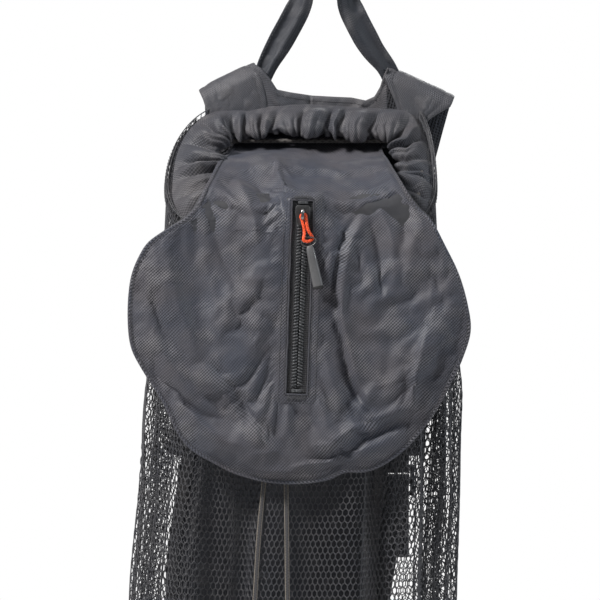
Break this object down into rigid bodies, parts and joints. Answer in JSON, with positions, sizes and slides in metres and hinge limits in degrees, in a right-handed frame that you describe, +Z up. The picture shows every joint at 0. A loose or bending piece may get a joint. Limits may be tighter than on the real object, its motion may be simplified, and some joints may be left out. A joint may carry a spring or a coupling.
{
  "type": "mesh ball bag",
  "caption": "Open net ball bag worn as a backpack, with a gathered drawcord mouth, a haul loop, folded shoulder straps and a round zipped pocket pulled out over the front.",
  "frame": {"origin": "where a hook carries the haul loop, at the underside of the loop's top", "axes": "+Z up along the hanging bag, -Y towards the front with the pocket, +Y towards the wearer, +X to the right seen from the front"},
  "size_m": [0.2742, 0.1487, 0.6244],
  "materials": {
    "twill": "matt charcoal twill",
    "lining": "matt lining cloth",
    "binding_tape": "matt woven tape",
    "net": "knotless polyester net, slight sheen",
    "spacer_mesh": "padded spacer mesh",
    "webbing": "ribbed webbing",
    "cord": "braided cord",
    "black_plastic": "fine moulded",
    "zip_coil": "nylon coil",
    "dark_metal": "dark coated",
    "spring_steel": "bright wire",
    "orange_cord": "orange cord",
    "grey_grip": "satin moulded"
  },
  "bodies": {
    "bag": {"haul_loop": "twill", "yoke_left": "twill", "yoke_right": "twill", "back_panel": "twill", "strap_left": "twill", "strap_right": "twill", "base_panel": "twill", "collar_rear": "twill", "collar_left": "twill", "collar_right": "twill", "collar_front_left": "twill", "collar_front_right": "twill", "flap_root": "twill", "side_binding_left": "binding_tape", "side_binding_right": "binding_tape", "anchor_tab_left": "binding_tape", "anchor_tab_right": "binding_tape", "base_binding": "binding_tape", "mesh_front": "net", "mesh_left": "net", "mesh_right": "net", "strap_lining_left": "spacer_mesh", "strap_lining_right": "spacer_mesh", "strap_webbing_left": "webbing", "strap_webbing_right": "webbing", "strap_keeper_left": "webbing", "strap_keeper_right": "webbing", "drawcord": "cord", "drawcord_tail_left": "cord", "drawcord_tail_right": "cord", "cord_end_left": "cord", "cord_end_right": "cord", "ladder_lock_left": "black_plastic", "ladder_lock_right": "black_plastic"},
    "flap_neck": {"flap_neck": "twill"},
    "flap": {"flap_front": "twill", "flap_back": "lining", "flap_binding": "binding_tape", "flap_header": "binding_tape", "zip_tape_left": "binding_tape", "zip_tape_right": "binding_tape", "zip_coil_left": "zip_coil", "zip_coil_right": "zip_coil", "zip_top_stop": "zip_coil", "zip_bottom_stop": "zip_coil"},
    "slider": {"zip_slider": "dark_metal"},
    "pull_cord": {"pull_cord": "orange_cord"},
    "pull_grip": {"pull_ring": "dark_metal", "pull_grip": "grey_grip"},
    "cord_lock": {"cord_lock_body": "black_plastic", "cord_lock_spring": "spring_steel"},
    "plunger": {"cord_lock_plunger": "black_plastic"}
  },
  "joints": [
    {"name": "neck_hinge", "type": "hinge", "parent": "bag", "child": "flap_neck", "pos_m": [-0.014, -0.03, -0.1552], "axis": [-1, 0, 0], "range_deg": [0, 70]},
    {"name": "flap_fold", "type": "hinge", "parent": "flap_neck", "child": "flap", "pos_m": [-0.014, -0.104, -0.184], "axis": [-1, 0, 0], "range_deg": [0, 100]},
    {"name": "slider_slide", "type": "slide", "parent": "flap", "child": "slider", "axis": [-0.0349, 0, -0.9994], "range_m": [0, 0.13]},
    {"name": "pull_hinge", "type": "hinge", "parent": "slider", "child": "pull_cord", "pos_m": [-0.0192, -0.1248, -0.204], "axis": [-0.9781, 0, -0.2079], "range_deg": [0, 120]},
    {"name": "grip_hinge", "type": "hinge", "parent": "pull_cord", "child": "pull_grip", "pos_m": [-0.01537, -0.1248, -0.222], "axis": [-0.9781, 0, -0.2079], "range_deg": [0, 60]},
    {"name": "cord_lock_slide", "type": "slide", "parent": "bag", "child": "cord_lock", "axis": [0, 0, -1], "range_m": [0, 0.03]},
    {"name": "plunger_press", "type": "slide", "parent": "cord_lock", "child": "plunger", "axis": [-1, 0, 0], "range_m": [0, 0.003], "stiffness_N_per_m": 400, "springref_m": -0.002, "deforming": ["cord_lock_spring"]}
  ]
}
